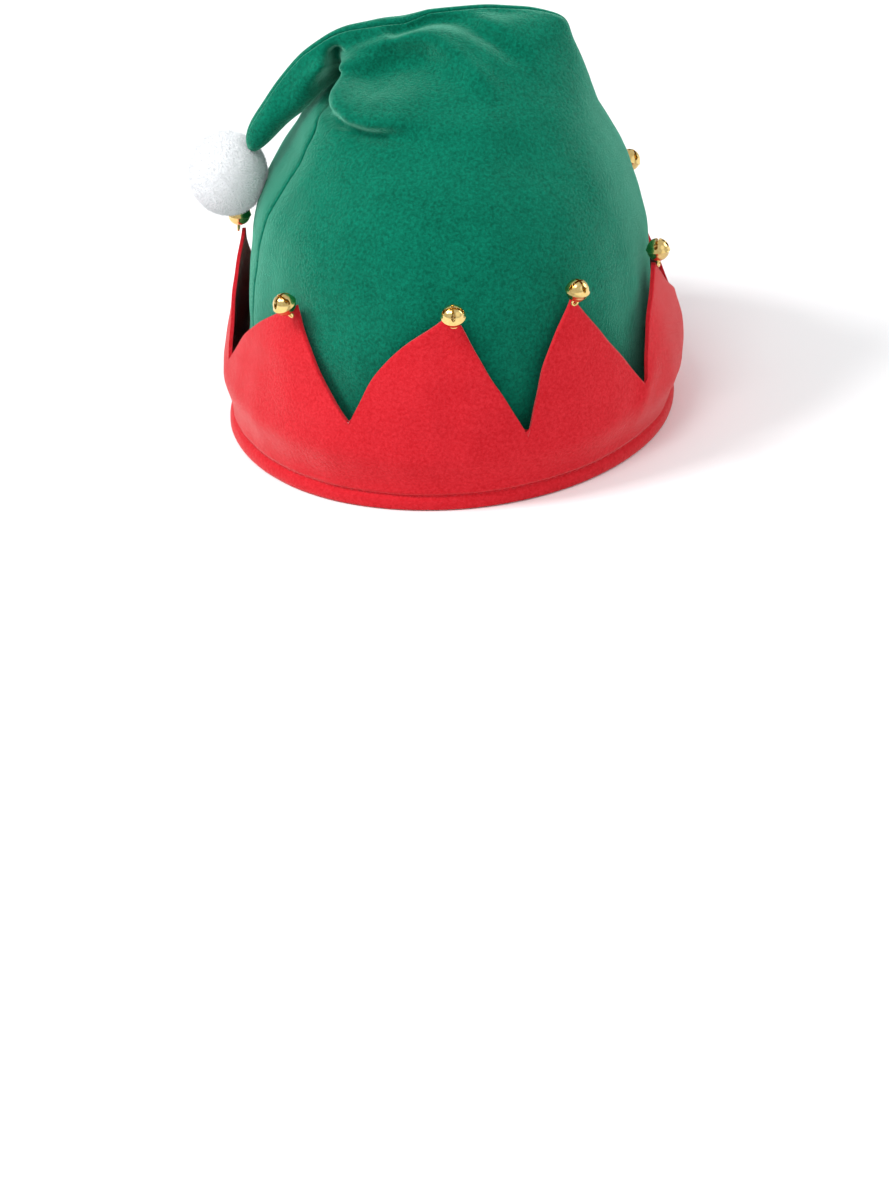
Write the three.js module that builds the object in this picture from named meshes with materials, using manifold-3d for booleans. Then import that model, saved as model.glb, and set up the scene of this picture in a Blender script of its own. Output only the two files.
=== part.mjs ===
// Elf hat: a felt crown of two sewn panels whose long peak folds over to its own left, a turned-up
// zigzag cuff with a jingle bell on each point, and a pompom on the end of the peak.
// Millimetres. +Z is up, +Y is the hat's front and +X its right. The cuff's hem rests on Z = 0.
import * as THREE from "three";
import { mergeVertices } from "three/addons/utils/BufferGeometryUtils.js";
import Module from "manifold-3d";

// Driving dimensions of the crown.
const crownWidth = 188; // side to side at its foot
const crownDepth = 208; // front to back at its foot
const crownHeight = 181; // up to the top edge of the folded peak
const crownFelt = 1.6;
const wallShare = 0.35; // of half a section's width, the most that a wall of felt takes up
const seamGap = 0.65; // between the two panels
const seamRoll = 2.4; // how far from a seam the felt starts to roll in
const seamDip = 0.9; // how deep it rolls in, above the hem
const seamDipFromRow = 0.4; // the section row where it starts to, as in the hem the seam lies flat
const seamDipFullRow = 1.4;
const seamSearchDegrees = 26; // degrees, more than any seam's roll takes up
const tuckDepth = 8; // how far the fold under the peak's bend stands out and hangs down

// Driving dimensions of the cuff.
const cuffFelt = 1.6;
const hemHeight = 6.6; // from the bottom to the line of stitches
const hemPuff = 0.8; // how far the hem's roll stands out past the stitches
const legShort = 1; // how far below the stitches the hem's inner leg ends
const hemFlat = 0.7; // height of the rounding beside the flat that the hat rests on
const hemSlack = 0.35; // more room for the crown in the hem, as flat facets of felt cut in on a curve
const valleyHeight = 34;
const pointHeight = 88; // of a full-height point's tip, from the bottom
const cuffBulge = 10; // how far the cuff leans out where it leans most

// Driving dimensions of the bells and the pompom.
const bellDiameter = 10.4;
const bellWall = 0.7;
const bellRim = 0.35; // how far the crimped edge round the middle stands out
const slotWidth = 1.3;
const slotLength = 9; // across the ball, of each of the two crossing slots
const slotReach = 3.4; // how far down the ball they are cut
const loopDiameter = 4.2;
const loopWire = 1.1;
const pompomDiameter = 35;
const tuftCount = 34;
const tuftDepth = 1.2;
const pompomNest = 3; // how deep the peak's end sits in the pompom

const clearance = 0.3;
const bellSpare = 0.5; // between a bell and the cuff, whose face is curved under it
const nestSpare = 0.5; // round the peak's end, in the pompom
const bellRoom = 1.5; // the least between the pompom and the bell below it

// The crown's sections, from its foot up, over the fold and down the peak. Each is a loop through an outer
// point, on the right or the peak's upper edge, and an inner point, on the left or the underside.
// X is a share of half the crown's width, Z of its height, and depth and shift of half its depth. A pinch
// over 1 sharpens that end of the loop. The seams are angles from the middle of the back. Tuck and drop are
// shares of the tuck's depth, outwards and downwards.
const sectionColumns = ["outerX", "outerZ", "innerX", "innerZ", "depth", "shift",
  "outerPinch", "innerPinch", "leftSeam", "rightSeam", "tuck", "drop"];
const crownSections = [
  [1, 0, -1, 0, 1, 0, 1, 1, -79, 101, 0, 0],
  [0.973, 0.118, -0.941, 0.118, 0.995, 0, 1, 1, -79, 101, 0, 0],
  [0.952, 0.25, -0.899, 0.25, 0.981, 0, 1, 1, -79, 100, 0, 0],
  [0.955, 0.365, -0.888, 0.365, 0.957, 0, 1, 1, -78, 99, 0, 0],
  [0.943, 0.473, -0.859, 0.473, 0.918, 0, 1, 1, -77, 98, 0, 0],
  [0.905, 0.565, -0.815, 0.565, 0.851, 0, 1, 1, -76, 97, 0, 0],
  [0.855, 0.64, -0.742, 0.64, 0.764, 0, 1, 1, -74, 96, 0, 0],
  [0.801, 0.697, -0.662, 0.697, 0.673, 0, 1, 1, -72, 95, 0, 0],
  [0.767, 0.739, -0.627, 0.734, 0.596, 0, 1.05, 1, -71, 94, -0.05, 0],
  [0.747, 0.769, -0.6, 0.758, 0.548, 0, 1.1, 1, -70, 93, -0.3, 0],
  [0.734, 0.792, -0.577, 0.775, 0.51, 0, 1.15, 1, -70, 92, -0.35, 0],
  [0.724, 0.814, -0.552, 0.789, 0.476, 0, 1.2, 1, -74, 91, -0.05, 0.1],
  [0.708, 0.843, -0.523, 0.8, 0.428, 0.005, 1.3, 1, -78, 90, 0.6, 0.35],
  [0.685, 0.88, -0.491, 0.813, 0.356, 0.01, 1.4, 1, -83, 90, 0.95, 0.25],
  [0.667, 0.922, -0.46, 0.826, 0.284, 0.014, 1.5, 1, -87, 90, 0.85, 0],
  [0.649, 0.964, -0.431, 0.84, 0.226, 0.019, 1.5, 1, -90, 90, 0.5, 0],
  [0.531, 0.99, -0.41, 0.851, 0.192, 0.024, 1.5, 1, -90, 90, 0.25, 0],
  [0.319, 1.002, -0.402, 0.859, 0.168, 0.029, 1.4, 1, -90, 90, 0.05, 0],
  [0.098, 1.003, -0.408, 0.859, 0.144, 0.034, 1.3, 1, -90, 90, -0.1, 0],
  [-0.103, 0.994, -0.425, 0.849, 0.125, 0.038, 1.2, 1, -90, 90, -0.1, 0],
  [-0.247, 0.985, -0.458, 0.834, 0.108, 0.043, 1.1, 1, -90, 90, 0, 0],
  [-0.376, 0.973, -0.498, 0.815, 0.096, 0.048, 1.05, 1, -90, 90, 0, 0],
  [-0.495, 0.944, -0.546, 0.793, 0.088, 0.053, 1, 1, -90, 90, 0, 0],
  [-0.6, 0.898, -0.6, 0.767, 0.083, 0.056, 1, 1, -90, 90, 0, 0],
  [-0.694, 0.848, -0.65, 0.748, 0.077, 0.054, 1, 1, -90, 90, 0, 0],
  [-0.774, 0.792, -0.711, 0.718, 0.069, 0.048, 1, 1, -90, 90, 0, 0],
  [-0.838, 0.739, -0.764, 0.693, 0.058, 0.038, 1, 1, -90, 90, 0, 0],
  [-0.863, 0.706, -0.797, 0.68, 0.042, 0.033, 1, 1, -90, 90, 0, 0],
  [-0.854, 0.684, -0.826, 0.674, 0.014, 0.029, 1, 1, -90, 90, 0, 0],
];
// Where round the crown the tuck is full, and where it has faded out, in degrees from the back's middle.
const tuckFullDegrees = -40;
const tuckFadedDegrees = 15;
const tuckLeftDegrees = -50;
const tuckGoneDegrees = -64;

// Softer folds over the bend, each along a line between two places on the crown. A place is an angle from the
// back's middle and a row of the sections. Reach is in rows, or tens of degrees, and push is a share of the
// tuck's depth, outwards.
const foldReachDegrees = 10;
const foldColumns = ["fromAngle", "fromRow", "toAngle", "toRow", "reach", "push"];
const crownFolds = [
  [-78, 16.4, -84, 18.6, 2.2, -0.6], // the pocket behind the tuck's end
  [74, 19.4, 14, 14.6, 0.9, 0.34], // the near ridge
  [20, 18.6, -38, 15.8, 1.0, -0.32], // the hollow below it
  [64, 17, 32, 14.6, 1.1, 0.14], // the far ridge
  [-30, 12.8, 4, 12.6, 1.2, 0.2], // the swell of the tuck
];

const peakFromRow = 19; // where the peak starts to hang
const levelSectionRows = 7; // the sections up to this row are level
const rowsPerSection = 1;
const panelColumns = 18; // besides the two that roll into the seams

// The cuff's points. The tip's angle is from the middle of the back, positive to the hat's right. Height is
// a share of a full point's, and lean of the cuff's bulge. The valley is the one on the tip's left, with its
// height as a share of the valleys' own. A flank's bow is over 1 where its edge is hollow. The bell's lean is
// in degrees outwards from upright.
const pointColumns = ["tip", "height", "lean", "valley", "valleyHeight", "leftBow", "rightBow", "bellLean"];
const cuffPoints = [
  [-100, 0.94, 0.85, -124, 1.0, 1.0, 1.0, 4],
  [-47.5, 0.925, 0.65, -80, 1.1, 0.65, 1.25, 38],
  [-0.5, 0.985, 0.5, -28.5, 1.15, 0.5, 0.95, 42],
  [33, 0.945, 0.6, 17.3, 0.9, 0.6, 0.9, 28],
  [71.5, 0.84, 1.0, 54, 0.93, 0.65, 1.0, 8],
  [122, 0.92, 0.85, 99, 0.95, 1.0, 1.0, 34],
  [168, 0.93, 0.6, 146, 1.0, 1.0, 1.0, 25],
  [214, 0.91, 0.65, 191, 1.0, 1.0, 1.0, 25],
];
const flankColumns = 4;
const levelRows = 3; // from above the stitches to below the valleys, all round
const pointRows = 3; // from there to the cut edge
const levelShare = 0.74; // of the valleys' height, where the level rows end
const leanPeak = 0.3; // where up a point the cuff leans out most, as a share of its height
const tipLean = 0.3; // how far a tip still leans out, as a share of the most

const crownFeltColour = 0x0f7a5c;
const cuffFeltColour = 0xd62a36;
const bellColour = 0xd9a93a;
const pompomColour = 0xf2f3f7;

const wasm = await Module();
wasm.setup();

const radians = THREE.MathUtils.degToRad;
const smooth = THREE.MathUtils.smoothstep;
const sideways = new THREE.Vector3(0, 1, 0);
const pompomSide = new THREE.Vector3(-0.77, 0.42, -0.48).normalize(); // from the peak's end
const up = new THREE.Vector3(0, 0, 1);

const named = (columns, rows) =>
  rows.map((row) => Object.fromEntries(columns.map((name, i) => [name, row[i]])));
const sections = named(sectionColumns, crownSections);
const points = named(pointColumns, cuffPoints);
const folds = named(foldColumns, crownFolds);
const lastSection = sections.length - 1;

// The crown stands in the hem, on the cuff's own felt.
const crownFoot = cuffFelt + clearance;

// A column of the section table at any place between its rows, on a smooth curve through them.
function sectionValue(name, place) {
  const row = Math.min(Math.floor(place), lastSection - 1);
  const s = place - row;
  const value = (k) => sections[THREE.MathUtils.clamp(k, 0, lastSection)][name];
  const before = (value(row + 1) - value(row - 1)) / 2;
  const after = (value(row + 2) - value(row)) / 2;
  const rise = value(row + 1) - value(row);
  return value(row) + s * (before + s * (3 * rise - 2 * before - after + s * (before + after - 2 * rise)));
}

function tuckShare(angle) {
  const toTheRight = 1 - smooth(angle, tuckFullDegrees, tuckFadedDegrees);
  return toTheRight * smooth(angle, tuckGoneDegrees, tuckLeftDegrees);
}

// How far the folds push the felt out at a place, as a share of the tuck's depth.
function foldShare(angle, place) {
  let share = 0;
  for (const fold of folds) {
    const fromStart = (a, row) =>
      new THREE.Vector2((a - fold.fromAngle) / foldReachDegrees, row - fold.fromRow);
    const line = fromStart(fold.toAngle, fold.toRow);
    const here = fromStart(angle, place);
    const along = THREE.MathUtils.clamp(here.dot(line) / line.lengthSq(), 0, 1);
    const away = here.distanceTo(line.multiplyScalar(along)) / fold.reach;
    share += fold.push * Math.exp(-(away ** 2));
  }
  return share;
}

// How far the peak's end is held up where the pompom would otherwise meet the bell below it.
function peakLift() {
  const bellTop = pointHeight * points[0].height + bellDiameter + bellRim + bellSpare;
  const tipZ = crownFoot + sections[lastSection].innerZ * (crownHeight - crownFoot);
  const pompomBottom = tipZ + pompomSide.z * (pompomDiameter / 2 - pompomNest) - pompomDiameter / 2;
  return Math.max(0, bellTop + bellRoom - pompomBottom);
}

// A point of the crown's outer face. The place runs along the sections and the angle round each, in degrees.
function crownPoint(angle, place) {
  const at = (name) => sectionValue(name, place);
  const lift = peakLift() * smooth(place, peakFromRow, lastSection);
  const height = (name) => crownFoot + at(name) * (crownHeight - crownFoot) + lift;
  const outer = new THREE.Vector3((at("outerX") * crownWidth) / 2, 0, height("outerZ"));
  const inner = new THREE.Vector3((at("innerX") * crownWidth) / 2, 0, height("innerZ"));
  const along = Math.sin(radians(angle));
  const across = Math.cos(radians(angle));
  const pinch = at(along > 0 ? "outerPinch" : "innerPinch");
  const reach = (at("depth") * crownDepth) / 2;
  const point = outer.clone().add(inner).multiplyScalar(0.5);
  point.addScaledVector(outer.clone().sub(inner), along / 2);
  point.addScaledVector(sideways, (at("shift") * crownDepth) / 2);
  point.addScaledVector(sideways, -Math.sign(across) * Math.abs(across) ** pinch * reach);
  const turned = (angle + 540) % 360 - 180;
  const tuck = tuckShare(turned) * tuckDepth;
  const outwards = outer.sub(inner).normalize().multiplyScalar(along).addScaledVector(sideways, -across);
  point.addScaledVector(outwards, at("tuck") * tuck + foldShare(turned, place) * tuckDepth);
  point.addScaledVector(up, -at("drop") * tuck);
  return point;
}

// The crown's outward normal, from its slopes round and along.
function crownNormal(angle, place) {
  const step = 0.02;
  const from = Math.max(place - step, 0);
  const to = Math.min(place + step, lastSection);
  const round = crownPoint(angle + 1, place).sub(crownPoint(angle - 1, place));
  const along = crownPoint(angle, to).sub(crownPoint(angle, from));
  return round.cross(along).normalize();
}

// Half the width of a section, where it is narrowest, so that a wall never meets the one across from it.
function sectionRadius(place) {
  const at = (name) => sectionValue(name, place);
  const wide = Math.hypot(
    ((at("outerX") - at("innerX")) * crownWidth) / 4,
    ((at("outerZ") - at("innerZ")) * crownHeight) / 4,
  );
  return Math.min(wide, (at("depth") * crownDepth) / 2);
}

// Triangles over a grid of points that closes on itself both ways, as on a ring.
function gridTriangles(rows, columns) {
  const triangles = [];
  for (let r = 0; r < rows; r++)
    for (let c = 0; c < columns; c++) {
      const a = r * columns + c;
      const b = r * columns + ((c + 1) % columns);
      const d = ((r + 1) % rows) * columns + c;
      const e = ((r + 1) % rows) * columns + ((c + 1) % columns);
      triangles.push(a, e, b, a, d, e);
    }
  return triangles;
}

function geometryOf(vertices, triangles) {
  const geometry = new THREE.BufferGeometry();
  const numbers = vertices.flatMap((vertex) => vertex.toArray());
  geometry.setAttribute("position", new THREE.Float32BufferAttribute(numbers, 3));
  geometry.setIndex(triangles);
  return geometry;
}

// How many degrees from a seam the felt is at a distance from it, measured along the felt.
function degreesFromSeam(seam, place, distance, side) {
  const start = crownPoint(seam, place);
  const tangent = crownPoint(seam + 2, place).sub(crownPoint(seam - 2, place)).normalize();
  let low = 0;
  let high = seamSearchDegrees;
  for (let i = 0; i < 24; i++) {
    const middle = (low + high) / 2;
    const gone = crownPoint(seam + side * middle, place).sub(start).dot(tangent) * side;
    if (gone < distance) low = middle;
    else high = middle;
  }
  return (low + high) / 2;
}

// One panel of the crown, from one seam round to the other, as a wall of felt.
function crownPanel(firstSeam, secondSeam, turn) {
  const rows = lastSection * rowsPerSection;
  const outside = [];
  const inside = [];
  for (let r = 0; r <= rows; r++) {
    const place = r / rowsPerSection;
    const first = sectionValue(firstSeam, place);
    const second = sectionValue(secondSeam, place) + turn;
    const wall = Math.min(crownFelt, wallShare * sectionRadius(place));
    const from = first + degreesFromSeam(first, place, seamRoll, 1);
    const to = second - degreesFromSeam(second, place, seamRoll, -1);
    // At a seam the felt is cut on the seam's own middle, so neither panel reaches across it.
    const edgeOf = (seam, side) => {
      const normal = crownNormal(seam, place);
      const angle = seam + side * degreesFromSeam(seam, place, seamGap / 2, side);
      const dip = Math.min(seamDip, wall) * smooth(place, seamDipFromRow, seamDipFullRow);
      const point = crownPoint(angle, place).addScaledVector(normal, -dip);
      return { point, normal };
    };
    const edges = [edgeOf(first, 1)];
    for (let c = 0; c <= panelColumns; c++) {
      const angle = from + ((to - from) * c) / panelColumns;
      edges.push({ point: crownPoint(angle, place), normal: crownNormal(angle, place) });
    }
    edges.push(edgeOf(second, -1));
    edges.forEach(({ point, normal }) => {
      outside.push(point);
      const inwards = r === 0 ? normal.setZ(0).normalize() : normal;
      inside.push(point.clone().addScaledVector(inwards, -wall));
    });
  }
  // A closed strip for each row: out along the outer face and back along the inner one.
  const columns = panelColumns + 3;
  const vertices = [];
  for (let r = 0; r <= rows; r++) {
    vertices.push(...outside.slice(r * columns, (r + 1) * columns));
    vertices.push(...inside.slice(r * columns, (r + 1) * columns).reverse());
  }
  const around = 2 * columns;
  const triangles = [];
  for (let r = 0; r < rows; r++)
    for (let c = 0; c < around; c++) {
      const next = (c + 1) % around;
      const [a, b] = [r * around + c, r * around + next];
      const [d, e] = [a + around, b + around];
      triangles.push(a, b, e, a, e, d);
    }
  // The cut ends at the foot and at the tip.
  for (let c = 0; c < columns - 1; c++) {
    const across = around - 1 - c;
    triangles.push(c, across, across - 1, c, across - 1, c + 1);
    const top = rows * around;
    triangles.push(top + c, top + across - 1, top + across, top + c, top + c + 1, top + across - 1);
  }
  return geometryOf(vertices, triangles);
}

// The crown's section place at a height, on its lower part, where the sections are level.
function placeAtHeight(z) {
  const share = (z - crownFoot) / (crownHeight - crownFoot);
  let low = 0;
  let high = levelSectionRows;
  for (let i = 0; i < 30; i++) {
    const middle = (low + high) / 2;
    if (sectionValue("outerZ", middle) < share) low = middle;
    else high = middle;
  }
  return (low + high) / 2;
}

// A point at a height and a distance out from the crown's outer face, level with that face.
function besideCrown(angle, z, out) {
  const place = placeAtHeight(z);
  const point = crownPoint(angle, place).setZ(z);
  const level = crownPoint(angle + 1, place).sub(crownPoint(angle - 1, place)).cross(up).normalize();
  return point.addScaledVector(level, out);
}

// A value of the points' table at any angle, smooth from each tip to the next.
function betweenTips(name, angle) {
  const count = points.length;
  const start = points[0].tip;
  const turned = THREE.MathUtils.euclideanModulo(angle - start, 360) + start;
  let k = count - 1;
  while (points[k].tip > turned) k--;
  const next = points[(k + 1) % count];
  const nextTip = next.tip + (k + 1 === count ? 360 : 0);
  const s = smooth(turned, points[k].tip, nextTip);
  return points[k][name] + s * (next[name] - points[k][name]);
}

// How far the cuff's inner face stands out from the crown at a height.
function standOff(angle, z) {
  const top = pointHeight * betweenTips("height", angle);
  const share = THREE.MathUtils.clamp((z - hemHeight) / (top - hemHeight), 0, 1);
  const rise = share < leanPeak ? smooth(share, 0, leanPeak) : 1 - (1 - tipLean) * smooth(share, leanPeak, 1);
  return clearance + hemSlack + betweenTips("lean", angle) * cuffBulge * rise;
}

// The angles of the cuff's columns, with the height of its cut edge at each.
function cuffEdge() {
  const edge = [];
  points.forEach((point, k) => {
    const wrapped = k + 1 === points.length;
    const next = points[(k + 1) % points.length];
    const right = next.valley + (wrapped ? 360 : 0);
    const tip = pointHeight * point.height;
    const flank = (valley, low, bow, share) => ({
      angle: valley + (point.tip - valley) * share,
      height: low + (tip - low) * share ** bow,
    });
    const leftLow = valleyHeight * point.valleyHeight;
    const rightLow = valleyHeight * next.valleyHeight;
    for (let c = 0; c < flankColumns; c++)
      edge.push(flank(point.valley, leftLow, point.leftBow, c / flankColumns));
    for (let c = flankColumns; c > 0; c--)
      edge.push(flank(right, rightLow, point.rightBow, c / flankColumns));
  });
  return edge;
}

// The cuff: up inside the crown's foot, round under it, and up outside to the zigzag edge.
function cuffGeometry() {
  // The crown's flat facets reach in past its true curve, so the hem's inner leg stands clear of them.
  const sag = (crownDepth / 2) * (1 - Math.cos(radians(90 / panelColumns)));
  const innerFace = -crownFelt - clearance - hemSlack - sag;
  const outerFace = clearance + hemSlack + cuffFelt;
  const legTop = hemHeight - legShort;
  const vertices = [];
  const edge = cuffEdge();
  for (const { angle, height } of edge) {
    const at = (out, z) => besideCrown(angle, z, out);
    const loop = [
      at(innerFace - cuffFelt, legTop),
      at(innerFace - cuffFelt, 2 * hemFlat),
      at(innerFace - cuffFelt + hemFlat, 0),
      at(outerFace + hemPuff - 2 * hemFlat, 0),
      at(outerFace + hemPuff - hemFlat / 2, hemFlat),
      at(outerFace + hemPuff, hemHeight / 2),
      at(outerFace, hemHeight),
    ];
    const level = valleyHeight * levelShare;
    const heights = [];
    for (let r = 1; r <= levelRows; r++)
      heights.push(hemHeight + ((level - hemHeight) * r) / levelRows);
    for (let r = 1; r <= pointRows; r++)
      heights.push(level + ((height - level) * r) / pointRows);
    heights.forEach((z) => loop.push(at(standOff(angle, z) + cuffFelt, z)));
    heights.reverse().forEach((z) => loop.push(at(standOff(angle, z), z)));
    loop.push(at(clearance + hemSlack, hemHeight), at(clearance + hemSlack, cuffFelt));
    loop.push(at(innerFace, cuffFelt), at(innerFace, legTop));
    vertices.push(...loop);
  }
  const around = vertices.length / edge.length;
  return geometryOf(vertices, gridTriangles(edge.length, around));
}

// The end of the peak, filled and grown by its spare room, to cut the place where the pompom is sewn on.
function peakEnd() {
  const stretch = 5; // how many sections of the peak
  const sides = 16;
  const vertices = [];
  for (let r = 0; r <= stretch; r++)
    for (let c = 0; c < sides; c++) {
      const angle = (360 * c) / sides;
      const place = lastSection - stretch + r;
      vertices.push(crownPoint(angle, place).addScaledVector(crownNormal(angle, place), nestSpare));
    }
  const along = tipCentre.clone().sub(pompomCentre).normalize();
  const triangles = [];
  for (let r = 0; r < stretch; r++)
    for (let c = 0; c < sides; c++) {
      const [a, b] = [r * sides + c, r * sides + ((c + 1) % sides)];
      triangles.push(a, b, b + sides, a, b + sides, a + sides);
    }
  const foot = vertices.length;
  const footCentre = new THREE.Vector3();
  vertices.slice(0, sides).forEach((vertex) => footCentre.addScaledVector(vertex, 1 / sides));
  vertices.push(footCentre);
  const tip = vertices.length;
  vertices.push(tipCentre.clone().addScaledVector(along, -nestSpare));
  for (let c = 0; c < sides; c++) {
    const next = (c + 1) % sides;
    triangles.push(foot, next, c, tip, stretch * sides + c, stretch * sides + next);
  }
  return geometryOf(vertices, triangles);
}

// A closed geometry as a solid that can be joined and cut, and back again.
function solidOf(geometry) {
  const bare = geometry.index ? geometry.toNonIndexed() : geometry.clone();
  bare.deleteAttribute("normal");
  bare.deleteAttribute("uv");
  const merged = mergeVertices(bare, 1e-4);
  return new wasm.Manifold(new wasm.Mesh({
    numProp: 3,
    vertProperties: merged.getAttribute("position").array,
    triVerts: new Uint32Array(merged.index.array),
  }));
}

function geometryFrom(solid) {
  const mesh = solid.getMesh();
  const geometry = new THREE.BufferGeometry();
  geometry.setAttribute("position", new THREE.BufferAttribute(new Float32Array(mesh.vertProperties), 3));
  geometry.setIndex(new THREE.BufferAttribute(new Uint32Array(mesh.triVerts), 1));
  return geometry;
}

// A ball turned about Z, with any swell round its middle.
function turnedBall(radius, sides, bands, swell) {
  const profile = [new THREE.Vector2(0, -radius)];
  for (let b = 1; b < bands; b++) {
    const tilt = -Math.PI / 2 + (Math.PI * b) / bands;
    const rim = b === bands / 2 ? swell : 0;
    profile.push(new THREE.Vector2((radius + rim) * Math.cos(tilt), radius * Math.sin(tilt)));
  }
  profile.push(new THREE.Vector2(0, radius));
  return solidOf(new THREE.LatheGeometry(profile, sides).rotateX(Math.PI / 2));
}

// A hollow jingle bell about its centre, with its loop down -Z and two slots crossing at the top.
function bellGeometry() {
  const radius = bellDiameter / 2;
  const hollow = turnedBall(radius - bellWall, 8, 4, 0);
  const shell = turnedBall(radius, 10, 6, bellRim).subtract(hollow);
  const slot = new THREE.BoxGeometry(slotLength, slotWidth, 2 * slotReach).translate(0, 0, radius);
  const crossSlot = slot.clone().rotateZ(Math.PI / 2);
  const loop = new THREE.TorusGeometry((loopDiameter - loopWire) / 2, loopWire / 2, 4, 8);
  loop.rotateX(Math.PI / 2).translate(0, 0, -radius - loopDiameter / 2 + loopWire);
  const slotted = shell.subtract(solidOf(slot)).subtract(solidOf(crossSlot));
  return geometryFrom(slotted.add(solidOf(loop).subtract(hollow)));
}

// A bell on a point's tip, its loop against the felt's outer face and its ball just clear of the cut edge.
function placeBell(mesh, point) {
  const tipZ = pointHeight * point.height;
  const faceAt = (z) => besideCrown(point.tip, z, standOff(point.tip, z) + cuffFelt);
  const tip = faceAt(tipZ);
  const rise = tip.clone().sub(faceAt(tipZ - 2 * loopDiameter)).normalize();
  const along = besideCrown(point.tip + 1, tipZ, 0).sub(besideCrown(point.tip - 1, tipZ, 0)).normalize();
  const outwards = along.clone().cross(rise).normalize();
  const lean = radians(point.bellLean);
  const length = bellDiameter / 2 + loopDiameter - 1.5 * loopWire;
  const out = bellSpare + loopWire / 2 + length * Math.sin(lean);
  const ball = bellDiameter / 2 + bellRim + bellSpare;
  const lift = Math.sqrt(Math.max(ball ** 2 - out ** 2, 0));
  const direction = rise.clone().multiplyScalar(Math.cos(lean)).addScaledVector(outwards, Math.sin(lean));
  const facing = direction.clone().cross(along);
  mesh.quaternion.setFromRotationMatrix(new THREE.Matrix4().makeBasis(along, facing, direction));
  mesh.position.copy(tip).addScaledVector(outwards, out).addScaledVector(rise, lift);
}

// A ball of short dense tufts, spread evenly over it.
function pompomGeometry() {
  const goldenAngle = Math.PI * (3 - Math.sqrt(5));
  const centres = [];
  for (let k = 0; k < tuftCount; k++) {
    const tilt = Math.acos(1 - (2 * k + 1) / tuftCount);
    centres.push(new THREE.Vector3().setFromSphericalCoords(1, tilt, k * goldenAngle));
  }
  const geometry = new THREE.IcosahedronGeometry(1, 4);
  const position = geometry.getAttribute("position");
  const point = new THREE.Vector3();
  const tuftSpread = Math.sqrt(4 / tuftCount);
  for (let i = 0; i < position.count; i++) {
    point.fromBufferAttribute(position, i).normalize();
    const nearest = Math.min(...centres.map((centre) => centre.distanceTo(point)));
    const radius = pompomDiameter / 2 - tuftDepth * Math.min(1, (nearest / tuftSpread) ** 2);
    position.setXYZ(i, ...point.multiplyScalar(radius).toArray());
  }
  return geometry;
}

const materialOf = (color, roughness, metalness) =>
  new THREE.MeshStandardMaterial({ color, roughness, metalness });
const crownMaterial = materialOf(crownFeltColour, 0.95, 0);
const cuffMaterial = materialOf(cuffFeltColour, 0.95, 0);
const bellMaterial = materialOf(bellColour, 0.25, 1);
const pompomMaterial = materialOf(pompomColour, 1, 0);

const hat = new THREE.Group();
function add(name, geometry, material) {
  const mesh = new THREE.Mesh(geometry, material);
  mesh.name = name;
  hat.add(mesh);
  return mesh;
}

add("crown_back_panel", crownPanel("leftSeam", "rightSeam", 0), crownMaterial);
add("crown_front_panel", crownPanel("rightSeam", "leftSeam", 360), crownMaterial);
add("cuff", cuffGeometry(), cuffMaterial);

const bell = bellGeometry();
points.forEach((point, k) => placeBell(add(`bell_${k + 1}`, bell, bellMaterial), point));

// The peak's end nests in the pompom, which lies against the crown's left side.
const tipCentre = crownPoint(0, lastSection).add(crownPoint(180, lastSection)).multiplyScalar(0.5);
const pompomCentre = tipCentre.clone().addScaledVector(pompomSide, pompomDiameter / 2 - pompomNest);
const pompom = solidOf(pompomGeometry().translate(...pompomCentre.toArray()));
add("pompom", geometryFrom(pompom.subtract(solidOf(peakEnd()))), pompomMaterial);

// The frame's origin is under the middle of the whole hat, on the surface that it stands on.
const middle = new THREE.Box3().setFromObject(hat).getCenter(new THREE.Vector3());
hat.position.set(-middle.x, -middle.y, 0);

export default hat;
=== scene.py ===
import math
import random

import bmesh
import bpy
import numpy as np
from mathutils import Matrix, Quaternion, Vector
from mathutils.bvhtree import BVHTree


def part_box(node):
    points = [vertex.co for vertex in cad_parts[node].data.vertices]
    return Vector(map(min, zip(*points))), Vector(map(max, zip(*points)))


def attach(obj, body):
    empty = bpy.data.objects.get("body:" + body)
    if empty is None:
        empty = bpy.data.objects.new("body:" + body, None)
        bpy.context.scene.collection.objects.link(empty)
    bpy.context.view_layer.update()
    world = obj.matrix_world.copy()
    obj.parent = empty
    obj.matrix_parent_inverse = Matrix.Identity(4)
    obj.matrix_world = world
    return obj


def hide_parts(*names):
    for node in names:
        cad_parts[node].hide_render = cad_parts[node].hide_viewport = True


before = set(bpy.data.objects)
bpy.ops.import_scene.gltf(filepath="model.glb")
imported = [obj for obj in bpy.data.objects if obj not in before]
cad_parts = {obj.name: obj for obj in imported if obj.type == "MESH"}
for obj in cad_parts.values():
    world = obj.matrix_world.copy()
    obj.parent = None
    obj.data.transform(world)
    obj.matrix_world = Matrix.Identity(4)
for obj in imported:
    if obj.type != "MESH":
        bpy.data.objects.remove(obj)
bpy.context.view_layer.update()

# Elf hat: two green felt panels folded over at the top, a red zigzag cuff, eight bells and a pompom.
# Metres, +Z up, +Y the hat's front and +X its right. The photograph looks at the back. The felt pieces
# start from the CAD's own meshes, and every piece ends up at the origin, unrotated and unscaled.

mm = 0.001

# The photograph's camera. The hat's foot centre falls on this pixel of the picture, and the focal length
# is in pixels.
photo_size = (889, 1200)
photo_focal = 5750
foot_centre = Vector((2.4 * mm, 0.6 * mm, 0))
foot_pixel = (452, 403)
camera_distance = 2.5
camera_elevation = 25  # degrees
camera_roll = -4.2  # degrees
sensor_width = 36  # mm

# What the lights look at.
hat_middle = Vector((0, 0, 90 * mm))

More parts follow.
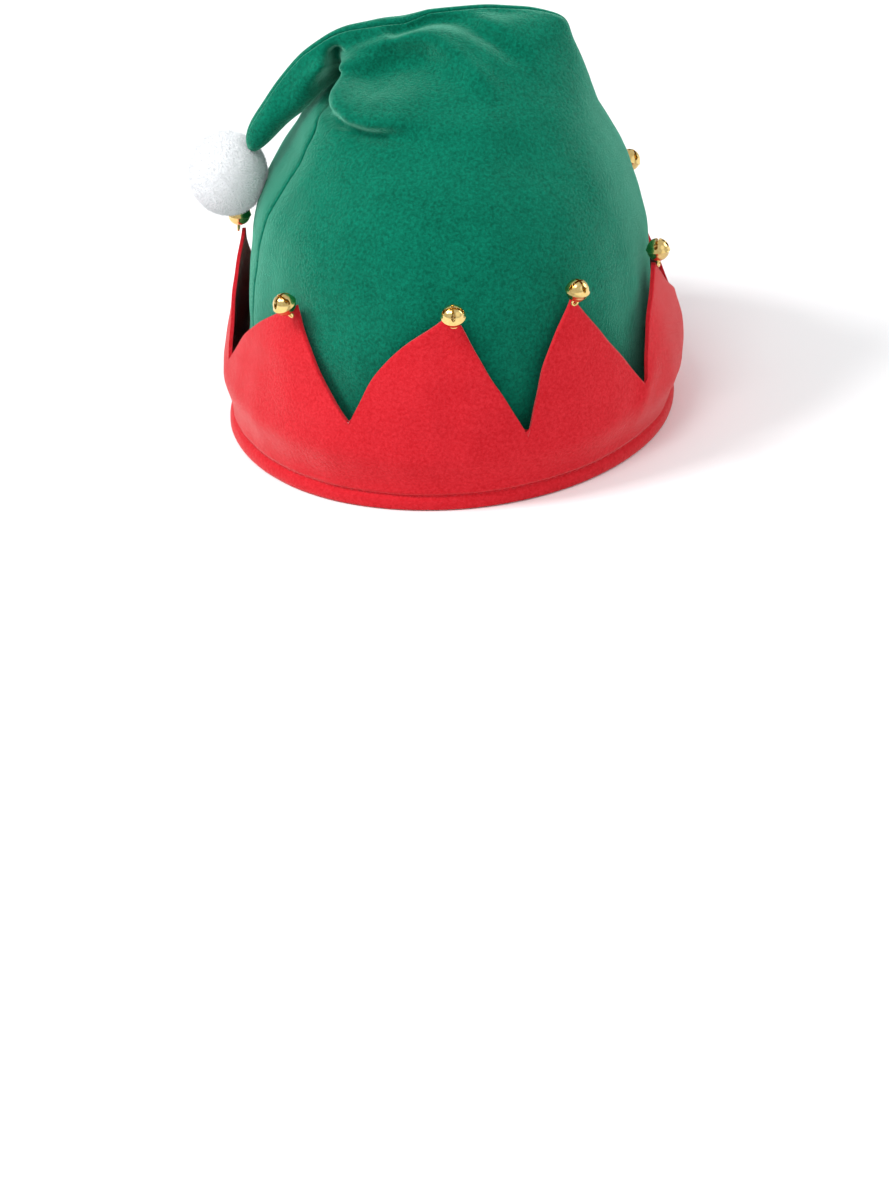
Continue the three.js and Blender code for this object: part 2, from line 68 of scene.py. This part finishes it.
# The soft folds of the crown, each pressed into the felt along a line of places. A place is a pixel of
# the photograph, and a push is in mm, to the photograph's right, up in it and out towards the camera. A
# fold fades out with the distance from its line, over its reach in mm.
crown_folds = {
    "left side": (22, [
        ((300, 122), (3, 0, 0)), ((281, 165), (3, 0, 0)), ((268, 215), (1, 0, 0))]),
    "pocket": (5.5, [
        ((320, 88), (0, 1, -4)), ((332, 78), (1, 3, -12)), ((340, 69), (1, 4, -18)),
        ((340, 54), (0, 4, -15))]),
    "round the nose": (4.5, [
        ((342, 74), (1, 1, -9)), ((338, 86), (2, 0, -9)), ((330, 102), (2, 1, -9)),
        ((338, 117), (1, 3, -9)), ((349, 126), (1, 3, -10)), ((364, 132), (0, 3, -9)),
        ((386, 135), (0, 2, -6)), ((430, 140), (0, 0, 0))]),
    "nose": (13, [
        ((353, 72), (-3, 0, 4)), ((353, 92), (-6, -1, 8)), ((362, 106), (-5, -2, 8)),
        ((388, 110), (-1, -2, 6))]),
    "lip": (6.5, [
        ((346, 70), (-2, 0, 2)), ((341, 88), (-3, 0, 4)), ((341, 100), (-3, -1, 4)),
        ((350, 112), (-1, -3, 4)),
        ((366, 119), (0, -3, 4)), ((388, 122), (0, -1, 2)), ((410, 124), (0, 0, 0))]),
    "hollow above the nose": (9, [
        ((376, 78), (0, 0, -3)), ((398, 66), (0, 0, -5)), ((425, 62), (0, 0, -4)),
        ((445, 70), (0, 0, -1))]),
    "near ridge": (5.5, [
        ((375, 28), (0, 0, 1)), ((402, 30), (0, 1, 3)), ((430, 42), (0, 1, 4)), ((456, 56), (0, 1, 4)),
        ((476, 73), (0, 0, 3)), ((492, 90), (0, 0, 1))]),
    "step behind the ridge": (4.5, [
        ((398, 21), (0, -1, -4)), ((425, 19), (0, -1, -5)), ((450, 20), (0, -1, -6)),
        ((470, 27), (0, 0, -6)), ((490, 39), (0, 0, -5)), ((510, 52), (0, 0, -3)),
        ((535, 64), (0, 0, 0))]),
    "sunk top": (10, [
        ((325, 50), (0, -2, 0)), ((350, 38), (0, -3, 0)), ((380, 27), (0, -4, 0)), ((405, 22), (0, -3, 0)),
        ((430, 20), (0, 0, 0))]),
    "seam behind the top": (5, [
        ((268, 120), (0, 0, 0)), ((290, 80), (0, 0, -2)), ((318, 55), (0, 0, -3)),
        ((352, 42), (0, -1, -4)), ((395, 30), (0, -1, -4)), ((440, 18), (0, 0, -4)),
        ((500, 13), (0, 0, -4)), ((556, 15), (0, 0, 0))]),
}
press_steps = 10
# How far in front of the felt a press starts, as a share of its push.
press_start = 0.1

# The cuff's soft folds, in the same way.
cuff_folds = {
    "beside the right valley": (5, [
        ((662, 330), (0, 0, 0)), ((648, 385), (0.4, 0, 1.6)), ((632, 440), (0, 0, 0))]),
    "middle point": (13, [((432, 395), (0, 0, 1.2)), ((470, 425), (0, 0, 1.2))]),
    "left point": (12, [((282, 360), (0, 0, 1.0)), ((300, 420), (0, 0, 1.0))]),
    "far side of the point under the pompom": (9, [
        ((246, 250), (1, 0, 1)), ((245, 280), (3, 0, 3)), ((243, 310), (3, 0, 3)),
        ((240, 335), (1, 0, 0))]),
}

# The slack of soft felt everywhere: how far it strays, over what length, and its waves, each as how many
# fit in that length and its share. It fades out from this height down to the foot.
slack = 0.45 * mm
slack_length = 46 * mm
slack_waves = ((1.0, 1.0), (2.3, 0.45))
slack_from = 12 * mm

# The hem's line of stitches and the groove that they draw in.
stitch_height = 6.6 * mm
stitch_length = 2.9 * mm
stitch_pitch = 3.6 * mm
stitch_radius = 0.3 * mm
groove_depth = 1.2 * mm
groove_width = 0.9 * mm
felt_thickness = 1.6 * mm
hem_top = 12 * mm
# What counts as the hem's outer face: no deeper than this behind its outermost point within a few degrees.
face_depth = 2.2 * mm
face_degrees = 3
# The zigzag is all above this height.
zigzag_from = 20 * mm

# The bells: their sizes, then where each one's middle stands in mm, the way along its point's face, and
# the way its slots look.
bell_radius = 4.9 * mm
bell_rim = 0.35 * mm
bell_wall = 0.5 * mm
bell_slot_width = 1.0 * mm
bell_slot_length = 7.4 * mm
bell_hole_radius = 0.95 * mm
bell_loop_radius = 1.6 * mm
bell_loop_wire = 0.5 * mm
bell_places = [
    ((-82.93, 18.10, 88.75), (-0.154, -0.988, -0.006), (0.115, -0.024, 0.993)),
    ((-64.29, -70.81, 84.22), (0.627, -0.778, 0.012), (-0.344, -0.263, 0.901)),
    ((5.51, -104.61, 88.34), (1.000, -0.007, -0.014), (0.009, -0.447, 0.894)),
    ((57.62, -86.49, 87.76), (0.802, 0.595, -0.040), (0.202, -0.207, 0.957)),
    ((94.11, -32.29, 79.77), (0.281, 0.959, -0.022), (0.025, 0.015, 1.000)),
    ((87.28, 56.53, 84.39), (-0.469, 0.875, 0.030), (0.390, 0.181, 0.902)),
    ((25.92, 102.34, 86.90), (-0.969, 0.237, 0.030), (0.079, 0.199, 0.977)),
    ((-46.38, 87.07, 85.15), (-0.793, -0.609, -0.009), (-0.136, 0.163, 0.977)),
]

# The pompom's pile: how many fibres, the half sizes of the ball that they grow on, a fibre's length and
# the shares of it that lengths vary between, its half width, the rings of corners along it as a share of
# its length and of its half width, how far it leans and curls, how deep in the ball it is rooted, and how
# far the pompom hangs from the solid's place.
pile_count = 16000
pile_core = Vector((16.6, 16.6, 18.0)) * mm
pile_length = 1.5 * mm
pile_lengths = (0.75, 1.1)
pile_width = 0.13 * mm
pile_rings = ((0, 1.0), (0.55, 0.75))
pile_lean = 0.3
pile_curl = 0.16
pile_sink = 0.97
pile_shift = Vector((1.9, 0, -4.8)) * mm
pile_turns = (0, 2.094, 4.189)  # radians, of a fibre's three sides
# How near a fibre may come to the felt beside it, as a share of the way there, and how far ahead it looks.
pile_stop = 0.75
pile_ahead = 1.3


# Selecting and making.


def only(piece):
    """Selects one piece alone and makes it the active one."""
    bpy.ops.object.select_all(action="DESELECT")
    piece.select_set(True)
    bpy.context.view_layer.objects.active = piece


def finish_modifier(piece, kind, **values):
    """Adds a modifier to a piece and applies it."""
    only(piece)
    modifier = piece.modifiers.new(kind.lower(), kind)
    for key, value in values.items():
        setattr(modifier, key, value)
    bpy.ops.object.modifier_apply(modifier=modifier.name)


def apply_place(piece):
    """Puts a piece's place into its mesh, so that its object sits at the origin."""
    only(piece)
    bpy.ops.object.transform_apply(location=True, rotation=True, scale=True)


def points_of(piece):
    points = np.zeros(len(piece.data.vertices) * 3)
    piece.data.vertices.foreach_get("co", points)
    return points.reshape(-1, 3)


def set_points(piece, points):
    piece.data.vertices.foreach_set("co", np.asarray(points, float).ravel())
    piece.data.update()


def felt_from(node, name):
    """A CAD node's mesh as a piece of its own, its loose triangles merged and paired into quads."""
    piece = bpy.data.objects.new(name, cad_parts[node].data.copy())
    bpy.context.scene.collection.objects.link(piece)
    piece.data.materials.clear()
    only(piece)
    bpy.ops.object.mode_set(mode="EDIT")
    bpy.ops.mesh.select_all(action="SELECT")
    bpy.ops.mesh.remove_doubles(threshold=0.002 * mm)
    bpy.ops.mesh.tris_convert_to_quads(face_threshold=math.pi, shape_threshold=math.pi)
    bpy.ops.object.mode_set(mode="OBJECT")
    return piece


def smooth_shading(piece, angle=35):
    only(piece)
    bpy.ops.object.shade_smooth_by_angle(angle=math.radians(angle))


def join(pieces):
    """Joins pieces into the first of them."""
    bpy.ops.object.select_all(action="DESELECT")
    for piece in pieces:
        piece.select_set(True)
    bpy.context.view_layer.objects.active = pieces[0]
    bpy.ops.object.join()
    return pieces[0]


# Materials.


def new_group(name, inputs, outputs):
    group = bpy.data.node_groups.new(name, "ShaderNodeTree")
    for label, kind, value in inputs:
        socket = group.interface.new_socket(label, in_out="INPUT", socket_type=kind)
        socket.default_value = value
    for label, kind in outputs:
        group.interface.new_socket(label, in_out="OUTPUT", socket_type=kind)
    return group, group.nodes.new("NodeGroupInput"), group.nodes.new("NodeGroupOutput")


def add_node(tree, kind, links=(), **values):
    """A node with its settings, then its links from other nodes' outputs."""
    node = tree.nodes.new(kind)
    for key, value in values.items():
        setattr(node, key, value)
    for socket, source in dict(links).items():
        if hasattr(source, "is_output"):
            tree.links.new(source, node.inputs[socket])
        else:
            node.inputs[socket].default_value = source
    return node


def felt_group():
    """Pressed felt: blotches of pile, fine fibres and a broad mottle, from one size of grain."""
    colour, number = "NodeSocketColor", "NodeSocketFloat"
    group, given, made = new_group(
        "pressed felt",
        [("Light", colour, (1, 1, 1, 1)), ("Dark", colour, (0, 0, 0, 1)), ("Grain", number, 600.0)],
        [("Color", colour), ("Height", number)],
    )
    place = add_node(group, "ShaderNodeTexCoord").outputs["Object"]
    blotch = add_node(group, "ShaderNodeTexNoise", {
        "Vector": place, "Scale": given.outputs["Grain"], "Detail": 4.0, "Roughness": 0.62,
        "Distortion": 0.5})
    finer = add_node(group, "ShaderNodeMath", {0: given.outputs["Grain"], 1: 3.4}, operation="MULTIPLY")
    fibre = add_node(group, "ShaderNodeTexNoise", {
        "Vector": place, "Scale": finer.outputs[0], "Detail": 3.0, "Roughness": 0.7, "Distortion": 1.2})
    mottle = add_node(group, "ShaderNodeTexNoise", {
        "Vector": place, "Scale": 60.0, "Detail": 2.0, "Roughness": 0.5})
    share = add_node(group, "ShaderNodeMapRange", {
        "Value": blotch.outputs["Fac"], "From Min": 0.34, "From Max": 0.66})
    fibre_share = add_node(group, "ShaderNodeMapRange", {
        "Value": fibre.outputs["Fac"], "From Min": 0.3, "From Max": 0.7})
    both = add_node(group, "ShaderNodeMix", {
        0: 0.35, 2: share.outputs[0], 3: fibre_share.outputs[0]})
    broad = add_node(group, "ShaderNodeMapRange", {
        "Value": mottle.outputs["Fac"], "From Min": 0.3, "From Max": 0.7, "To Min": -0.07, "To Max": 0.07})
    total = add_node(group, "ShaderNodeMath", {0: both.outputs[0], 1: broad.outputs[0]}, operation="ADD")
    total.use_clamp = True
    mixed = add_node(group, "ShaderNodeMix", {
        0: total.outputs[0], 6: given.outputs["Dark"], 7: given.outputs["Light"]}, data_type="RGBA")
    group.links.new(mixed.outputs[2], made.inputs["Color"])
    group.links.new(both.outputs[0], made.inputs["Height"])
    return group


def new_material(name):
    material = bpy.data.materials.new(name)
    material.use_nodes = True
    return material, material.node_tree, material.node_tree.nodes["Principled BSDF"]


def felt_material(name, light, dark, sheen_colour, sheen=0.45, grain=820.0, bump=0.55):
    material, tree, shader = new_material(name)
    felt = add_node(tree, "ShaderNodeGroup", node_tree=bpy.data.node_groups["pressed felt"])
    felt.inputs["Light"].default_value = (*light, 1)
    felt.inputs["Dark"].default_value = (*dark, 1)
    felt.inputs["Grain"].default_value = grain
    tree.links.new(felt.outputs["Color"], shader.inputs["Base Color"])
    raised = add_node(tree, "ShaderNodeBump", {
        "Height": felt.outputs["Height"], "Strength": bump, "Distance": 0.5 * mm})
    tree.links.new(raised.outputs["Normal"], shader.inputs["Normal"])
    shader.inputs["Roughness"].default_value = 0.95
    shader.inputs["Specular IOR Level"].default_value = 0.03
    shader.inputs["Sheen Weight"].default_value = sheen
    shader.inputs["Sheen Roughness"].default_value = 0.35
    shader.inputs["Sheen Tint"].default_value = (*sheen_colour, 1)
    return material


def bell_material():
    """Thin polished brass plate, a little uneven and rubbed."""
    material, tree, shader = new_material("bell gold")
    place = add_node(tree, "ShaderNodeTexCoord").outputs["Object"]
    rubbed = add_node(tree, "ShaderNodeTexNoise", {"Vector": place, "Scale": 900.0, "Detail": 5.0})
    waves = add_node(tree, "ShaderNodeTexNoise", {"Vector": place, "Scale": 260.0, "Detail": 1.0})
    tone = add_node(tree, "ShaderNodeMix", {
        0: rubbed.outputs["Fac"], 6: (0.66, 0.42, 0.1, 1), 7: (0.93, 0.73, 0.34, 1)}, data_type="RGBA")
    tree.links.new(tone.outputs[2], shader.inputs["Base Color"])
    rough = add_node(tree, "ShaderNodeMapRange", {
        "Value": rubbed.outputs["Fac"], "From Min": 0.3, "From Max": 0.7, "To Min": 0.1, "To Max": 0.26})
    tree.links.new(rough.outputs[0], shader.inputs["Roughness"])
    raised = add_node(tree, "ShaderNodeBump", {
        "Height": waves.outputs["Fac"], "Strength": 0.25, "Distance": 0.4 * mm})
    tree.links.new(raised.outputs["Normal"], shader.inputs["Normal"])
    shader.inputs["Metallic"].default_value = 1.0
    return material


def floor_material():
    material, tree, shader = new_material("studio floor")
    place = add_node(tree, "ShaderNodeTexCoord").outputs["Object"]
    noise = add_node(tree, "ShaderNodeTexNoise", {"Vector": place, "Scale": 3.0, "Detail": 2.0})
    tone = add_node(tree, "ShaderNodeMix", {
        0: noise.outputs["Fac"], 6: (0.93, 0.93, 0.935, 1), 7: (0.95, 0.95, 0.955, 1)}, data_type="RGBA")
    tree.links.new(tone.outputs[2], shader.inputs["Base Color"])
    shader.inputs["Roughness"].default_value = 0.9
    return material


felt_group()
green_felt = felt_material(
    "green felt", (0.003, 0.21, 0.125), (0.0003, 0.07, 0.04), (0.36, 1.0, 0.74), sheen=0.95)
red_felt = felt_material(
    "red felt", (0.68, 0.028, 0.04), (0.5, 0.008, 0.014), (0.6, 0.4, 0.38), sheen=0.8, bump=0.4)
bell_gold = bell_material()
white_pile = felt_material(
    "white pile", (0.95, 0.955, 0.965), (0.87, 0.88, 0.9), (1, 1, 1), sheen=0.6)
red_thread = felt_material(
    "red thread", (0.7, 0.03, 0.045), (0.45, 0.01, 0.016), (1.0, 0.5, 0.5), grain=2400.0)


# The camera, the floor and the lights.


def place_camera():
    """The photograph's camera, aimed so that the hat's foot centre falls on its pixel."""
    elevation = math.radians(camera_elevation)
    back = Vector((0, -math.cos(elevation), math.sin(elevation)))
    bpy.ops.object.camera_add(location=foot_centre + back * camera_distance)
    camera = bpy.context.object
    right = foot_pixel[0] - photo_size[0] / 2
    above = photo_size[1] / 2 - foot_pixel[1]
    roll = Quaternion((0, 0, 1), math.radians(camera_roll))
    tilt = Quaternion((1, 0, 0), -math.atan(above / photo_focal))
    turn = Quaternion((0, 1, 0), math.atan(right / photo_focal))
    camera.rotation_mode = "QUATERNION"
    camera.rotation_quaternion = (-back).to_track_quat("-Z", "Y") @ roll @ tilt @ turn
    camera.data.sensor_width = sensor_width
    camera.data.lens = photo_focal * sensor_width / max(photo_size)
    camera.data.clip_start = 0.05
    camera.data.clip_end = 100
    bpy.context.scene.camera = camera


def soft_light(name, place, size, power):
    """A softbox that looks at the middle of the hat."""
    bpy.ops.object.light_add(type="AREA", location=place)
    light = bpy.context.object
    light.name = name
    light.data.shape = "DISK"
    light.data.size = size
    light.data.energy = power
    light.rotation_mode = "QUATERNION"
    light.rotation_quaternion = (hat_middle - Vector(place)).to_track_quat("-Z", "Y")


def build_studio():
    bpy.ops.object.select_all(action="DESELECT")
    bpy.ops.mesh.primitive_plane_add(size=12, location=(0, 0, 0))
    floor = bpy.context.object
    floor.name = "studio_floor"
    floor.data.materials.append(floor_material())
    world = bpy.data.worlds.new("studio")
    world.use_nodes = True
    world.node_tree.nodes["Background"].inputs["Color"].default_value = (0.97, 0.985, 1.0, 1)
    world.node_tree.nodes["Background"].inputs["Strength"].default_value = 0.68
    bpy.context.scene.world = world
    soft_light("key light", (-0.7, -1.2, 2.4), 1.0, 16)
    soft_light("fill light", (1.6, -1.2, 1.1), 1.6, 3)
    soft_light("left light", (-1.5, -0.3, 1.7), 0.7, 34)
    soft_light("right light", (1.8, 0.6, 0.8), 1.0, 9)
    bpy.context.scene.view_settings.view_transform = "Standard"


# The crown.


def push_beside(points, places, pushes, reach):
    """The push that each point gets from the nearest place on a line, fading out with distance."""
    nearest = np.full(len(points), np.inf)
    way = np.zeros_like(points)
    for start, end, start_push, end_push in zip(places[:-1], places[1:], pushes[:-1], pushes[1:]):
        line = end - start
        share = np.clip((points - start) @ line / (line @ line), 0, 1)[:, None]
        away = np.linalg.norm(points - start - share * line, axis=1)
        here = away < nearest
        nearest[here] = away[here]
        way[here] = (start_push + share * (end_push - start_push))[here]
    return way * np.exp(-((nearest / reach) ** 2))[:, None]


def seen_at(pieces, pixel):
    """The nearest place in mm where the line of sight through a photograph's pixel meets the pieces."""
    camera = bpy.context.scene.camera
    across = (pixel[0] - photo_size[0] / 2) / photo_focal
    above = (photo_size[1] / 2 - pixel[1]) / photo_focal
    sight = camera.rotation_quaternion @ Vector((across, above, -1)).normalized()
    hits = [piece.ray_cast(camera.location, sight) for piece in pieces]
    hits = [hit[1] for hit in hits if hit[0]]
    return np.array(min(hits, key=lambda hit: (hit - camera.location).length)) / mm


def press_folds(pieces, folds):
    """Presses folds into soft felt, a little at a time, so that it never passes through itself."""
    axes = np.array(bpy.context.scene.camera.rotation_quaternion.to_matrix()).T
    for reach, line in folds.values():
        bpy.context.view_layer.update()
        pushes = np.array([push for pixel, push in line], float) @ axes
        places = np.array([seen_at(pieces, pixel) for pixel, push in line]) - press_start * pushes
        for piece in pieces:
            points = points_of(piece) / mm
            for step in range(press_steps):
                gone = (step + 0.5) / press_steps
                points += push_beside(points, places + pushes * gone, pushes, reach) / press_steps
            set_points(piece, points * mm)


def slacken(piece):
    """Lets the felt stray a little from its smooth shape, as every soft piece here does alike."""
    points = points_of(piece)
    stray = np.zeros_like(points)
    for k, share in slack_waves:
        for a in range(3):
            b, c = (a + 1) % 3, (a + 2) % 3
            stray[:, a] += share * np.sin(k * points[:, b] / slack_length * 2 * math.pi + 1.7 * a + k)
            stray[:, a] += share * np.sin(k * points[:, c] / slack_length * 2.6 * math.pi + 0.9 * a)
    lift = np.clip(points[:, 2] / slack_from, 0, 1)[:, None]
    set_points(piece, points + stray * slack / 2 * lift)


def make_crown():
    panels = {"crown_back_panel": "crown_back_felt", "crown_front_panel": "crown_front_felt"}
    pieces = [felt_from(node, name) for node, name in panels.items()]
    for piece in pieces:
        finish_modifier(piece, "SUBSURF", levels=3, render_levels=3)
    press_folds(pieces, crown_folds)
    for node, piece in zip(panels, pieces):
        slacken(piece)
        piece.data.materials.append(green_felt)
        smooth_shading(piece, 60)
        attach(piece, "root")
        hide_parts(node)
    return pieces


# The cuff.


def crease_cut_edge(piece):
    """Creases the zigzag cut edge, so that it stays crisp when the cuff is subdivided."""
    only(piece)
    bpy.ops.object.mode_set(mode="EDIT")
    mesh = bmesh.from_edit_mesh(piece.data)
    across = {e.index for e in mesh.edges
              if min(v.co.z for v in e.verts) > zigzag_from and e.calc_length() < 1.1 * felt_thickness}
    rim = {v.index for e in mesh.edges if e.index in across for v in e.verts}
    cut_edge = {e.index for e in mesh.edges
                if e.verts[0].index in rim and e.verts[1].index in rim and e.index not in across}
    corners = set()
    for vertex in mesh.verts:
        beside = [
            e.other_vert(vertex).co.z - vertex.co.z for e in vertex.link_edges if e.index in cut_edge]
        if len(beside) == 2 and beside[0] * beside[1] > 0:
            corners.add(vertex.index)
    cut_edge |= {e.index for e in mesh.edges if e.index in across and e.verts[0].index in corners}
    bpy.ops.mesh.select_mode(type="EDGE")
    bpy.ops.mesh.select_all(action="DESELECT")
    mesh = bmesh.from_edit_mesh(piece.data)
    for edge in mesh.edges:
        edge.select_set(edge.index in cut_edge)
    bmesh.update_edit_mesh(piece.data)
    bpy.ops.transform.edge_crease(value=1)
    bpy.ops.mesh.select_mode(type="VERT")
    bpy.ops.mesh.select_all(action="DESELECT")
    mesh = bmesh.from_edit_mesh(piece.data)
    for vertex in mesh.verts:
        vertex.select_set(vertex.index in corners)
    bmesh.update_edit_mesh(piece.data)
    bpy.ops.transform.vert_crease(value=1)
    bpy.ops.object.mode_set(mode="OBJECT")


def press_groove(piece):
    """Draws the outer face in along the line of stitches."""
    points = points_of(piece)
    normals = np.zeros(len(points) * 3)
    piece.data.vertices.foreach_get("normal", normals)
    outward = normals.reshape(-1, 3) * (1, 1, 0)
    radius = np.linalg.norm(points[:, :2], axis=1)
    half_turn = 180 // face_degrees
    turn = (np.degrees(np.arctan2(points[:, 1], points[:, 0])) // face_degrees).astype(int) + half_turn
    low = points[:, 2] < hem_top
    outer = np.zeros(2 * half_turn + 1)
    np.maximum.at(outer, turn[low], radius[low])
    faces_out = np.sum(outward[:, :2] * points[:, :2], axis=1) > 0
    on_face = (radius > outer[turn] - face_depth) & faces_out
    depth = np.exp(-(((points[:, 2] - stitch_height) / groove_width) ** 2)) * on_face
    set_points(piece, points - outward * (groove_depth * depth)[:, None])


def make_stitches(cuff):
    """One stitch of thread, copied all round in the hem's groove."""
    wall = BVHTree.FromObject(cuff, bpy.context.evaluated_depsgraph_get())
    ring = []
    for turn in range(1440):
        angle = turn * math.pi / 720
        out = Vector((math.cos(angle), math.sin(angle), 0))
        hit = wall.ray_cast(out * 200 * mm + Vector((0, 0, stitch_height)), -out)
        ring.append(hit[0])
    bpy.ops.object.select_all(action="DESELECT")
    bpy.ops.mesh.primitive_uv_sphere_add(segments=8, ring_count=8, radius=1)
    pattern = bpy.context.object
    pattern.scale = (stitch_length / 2, stitch_radius, stitch_radius)
    apply_place(pattern)
    stitches = [pattern]
    gone = 0
    for start, end in zip(ring, ring[1:]):
        gone += (end - start).length
        if gone < stitch_pitch:
            continue
        gone = 0
        along = (end - start).normalized()
        turned = Matrix((along, Vector((0, 0, 1)).cross(along), Vector((0, 0, 1)))).transposed().to_4x4()
        stitch = bpy.data.objects.new("stitch", pattern.data.copy())
        bpy.context.scene.collection.objects.link(stitch)
        stitch.data.transform(Matrix.Translation(end) @ turned)
        stitches.append(stitch)
    piece = join(stitches[1:])
    bpy.data.objects.remove(pattern)
    piece.name = "hem_stitches"
    piece.data.materials.clear()
    piece.data.materials.append(red_thread)
    smooth_shading(piece, 60)
    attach(piece, "root")
    return piece


def make_cuff():
    piece = felt_from("cuff", "cuff_felt")
    crease_cut_edge(piece)
    finish_modifier(piece, "SUBSURF", levels=3, render_levels=3)
    press_folds([piece], cuff_folds)
    slacken(piece)
    press_groove(piece)
    piece.data.materials.append(red_felt)
    smooth_shading(piece, 50)
    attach(piece, "root")
    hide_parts("cuff")
    stitches = make_stitches(piece)


# The bells.


def cut(piece, cutter):
    finish_modifier(piece, "BOOLEAN", operation="DIFFERENCE", object=cutter, solver="EXACT")
    bpy.data.objects.remove(cutter)


def model_bell():
    """One bell about its centre: two crimped half balls, hollow, with crossing slots that end in holes."""
    bpy.ops.object.select_all(action="DESELECT")
    bpy.ops.mesh.primitive_uv_sphere_add(segments=40, ring_count=20, radius=bell_radius)
    bell = bpy.context.object
    bpy.ops.object.mode_set(mode="EDIT")
    bpy.ops.mesh.select_mode(type="VERT")
    bpy.ops.mesh.select_all(action="DESELECT")
    mesh = bmesh.from_edit_mesh(bell.data)
    for vertex in mesh.verts:
        vertex.select_set(abs(vertex.co.z) < 0.01 * mm)
    bmesh.update_edit_mesh(bell.data)
    swell = 1 + bell_rim / bell_radius
    bpy.ops.transform.resize(value=(swell, swell, 1))
    bpy.ops.object.mode_set(mode="OBJECT")
    finish_modifier(bell, "SOLIDIFY", thickness=bell_wall, offset=-1)
    for turn in (0, math.pi / 2):
        bpy.ops.object.select_all(action="DESELECT")
        bpy.ops.mesh.primitive_cube_add(size=1, location=(0, 0, bell_radius), rotation=(0, 0, turn))
        slot = bpy.context.object
        slot.scale = (bell_slot_length, bell_slot_width, 1.5 * bell_radius)
        apply_place(slot)
        cut(bell, slot)
        for side in (-1, 1):
            reach = side * bell_slot_length / 2
            bpy.ops.object.select_all(action="DESELECT")
            bpy.ops.mesh.primitive_cylinder_add(
                vertices=20, radius=bell_hole_radius, depth=1.5 * bell_radius,
                location=(reach * math.cos(turn), reach * math.sin(turn), bell_radius))
            hole = bpy.context.object
            apply_place(hole)
            cut(bell, hole)
    bpy.ops.object.select_all(action="DESELECT")
    bpy.ops.mesh.primitive_torus_add(
        major_radius=bell_loop_radius, minor_radius=bell_loop_wire, major_segments=24, minor_segments=10,
        location=(0, 0, -bell_radius - bell_loop_radius + bell_loop_wire), rotation=(math.pi / 2, 0, 0))
    loop = bpy.context.object
    apply_place(loop)
    join([bell, loop])
    return bell


def make_bells():
    pattern = model_bell()
    for k, (centre, along, up) in enumerate(bell_places):
        piece = bpy.data.objects.new(f"jingle_bell_{k + 1}", pattern.data.copy())
        bpy.context.scene.collection.objects.link(piece)
        up, along = Vector(up).normalized(), Vector(along).normalized()
        facing = up.cross(along).normalized()
        along = facing.cross(up)
        turned = Matrix((along, facing, up)).transposed().to_4x4()
        piece.data.transform(Matrix.Translation(Vector(centre) * mm) @ turned)
        piece.data.materials.clear()
        piece.data.materials.append(bell_gold)
        smooth_shading(piece, 35)
        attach(piece, "root")
        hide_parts(f"bell_{k + 1}")
    bpy.data.objects.remove(pattern)


# The pompom.


def make_pompom(crown):
    """A core ball and thousands of short tapered fibres, which stop short of the felt beside them."""
    low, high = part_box("pompom")
    centre = (low + high) / 2 + pile_shift
    bpy.ops.object.select_all(action="DESELECT")
    bpy.ops.mesh.primitive_ico_sphere_add(subdivisions=4, radius=1, location=centre)
    core = bpy.context.object
    core.name = "pompom_pile"
    core.scale = pile_core
    apply_place(core)
    rng = random.Random(7)
    walls = [BVHTree.FromObject(panel, bpy.context.evaluated_depsgraph_get()) for panel in crown]
    corners, faces = [], []
    golden = math.pi * (3 - math.sqrt(5))
    for k in range(pile_count):
        height = 1 - (2 * k + 1) / pile_count
        ring = math.sqrt(1 - height * height)
        out = Vector((ring * math.cos(k * golden), ring * math.sin(k * golden), height))
        lean = Vector((rng.gauss(0, 1), rng.gauss(0, 1), rng.gauss(0, 1))) * pile_lean
        way = (out + lean).normalized()
        length = pile_length * rng.uniform(*pile_lengths)
        root = centre + out * pile_core * pile_sink
        for wall in walls:
            hit = wall.ray_cast(root, way, length * pile_ahead)
            if hit[0] is not None:
                length = min(length, pile_stop * hit[3])
        curl = Vector((rng.gauss(0, 1), rng.gauss(0, 1), rng.gauss(0, 1))) * pile_curl * length
        side = way.orthogonal().normalized()
        other = way.cross(side)
        base = len(corners)
        for share, width in pile_rings:
            middle = root + way * length * share + curl * share * share
            for turn in pile_turns:
                around = side * math.cos(turn) + other * math.sin(turn)
                corners.append(middle + around * pile_width * width)
        corners.append(root + way * length + curl)
        for a in range(3):
            b = (a + 1) % 3
            faces.append((base + a, base + b, base + 3 + b, base + 3 + a))
            faces.append((base + 3 + a, base + 3 + b, base + 6))
    mesh = bpy.data.meshes.new("pile")
    mesh.from_pydata([tuple(c) for c in corners], [], faces)
    pile = bpy.data.objects.new("pile", mesh)
    bpy.context.scene.collection.objects.link(pile)
    piece = join([core, pile])
    piece.data.materials.clear()
    piece.data.materials.append(white_pile)
    smooth_shading(piece, 60)
    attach(piece, "root")
    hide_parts("pompom")


place_camera()
build_studio()
crown = make_crown()
make_cuff()
make_bells()
make_pompom(crown)
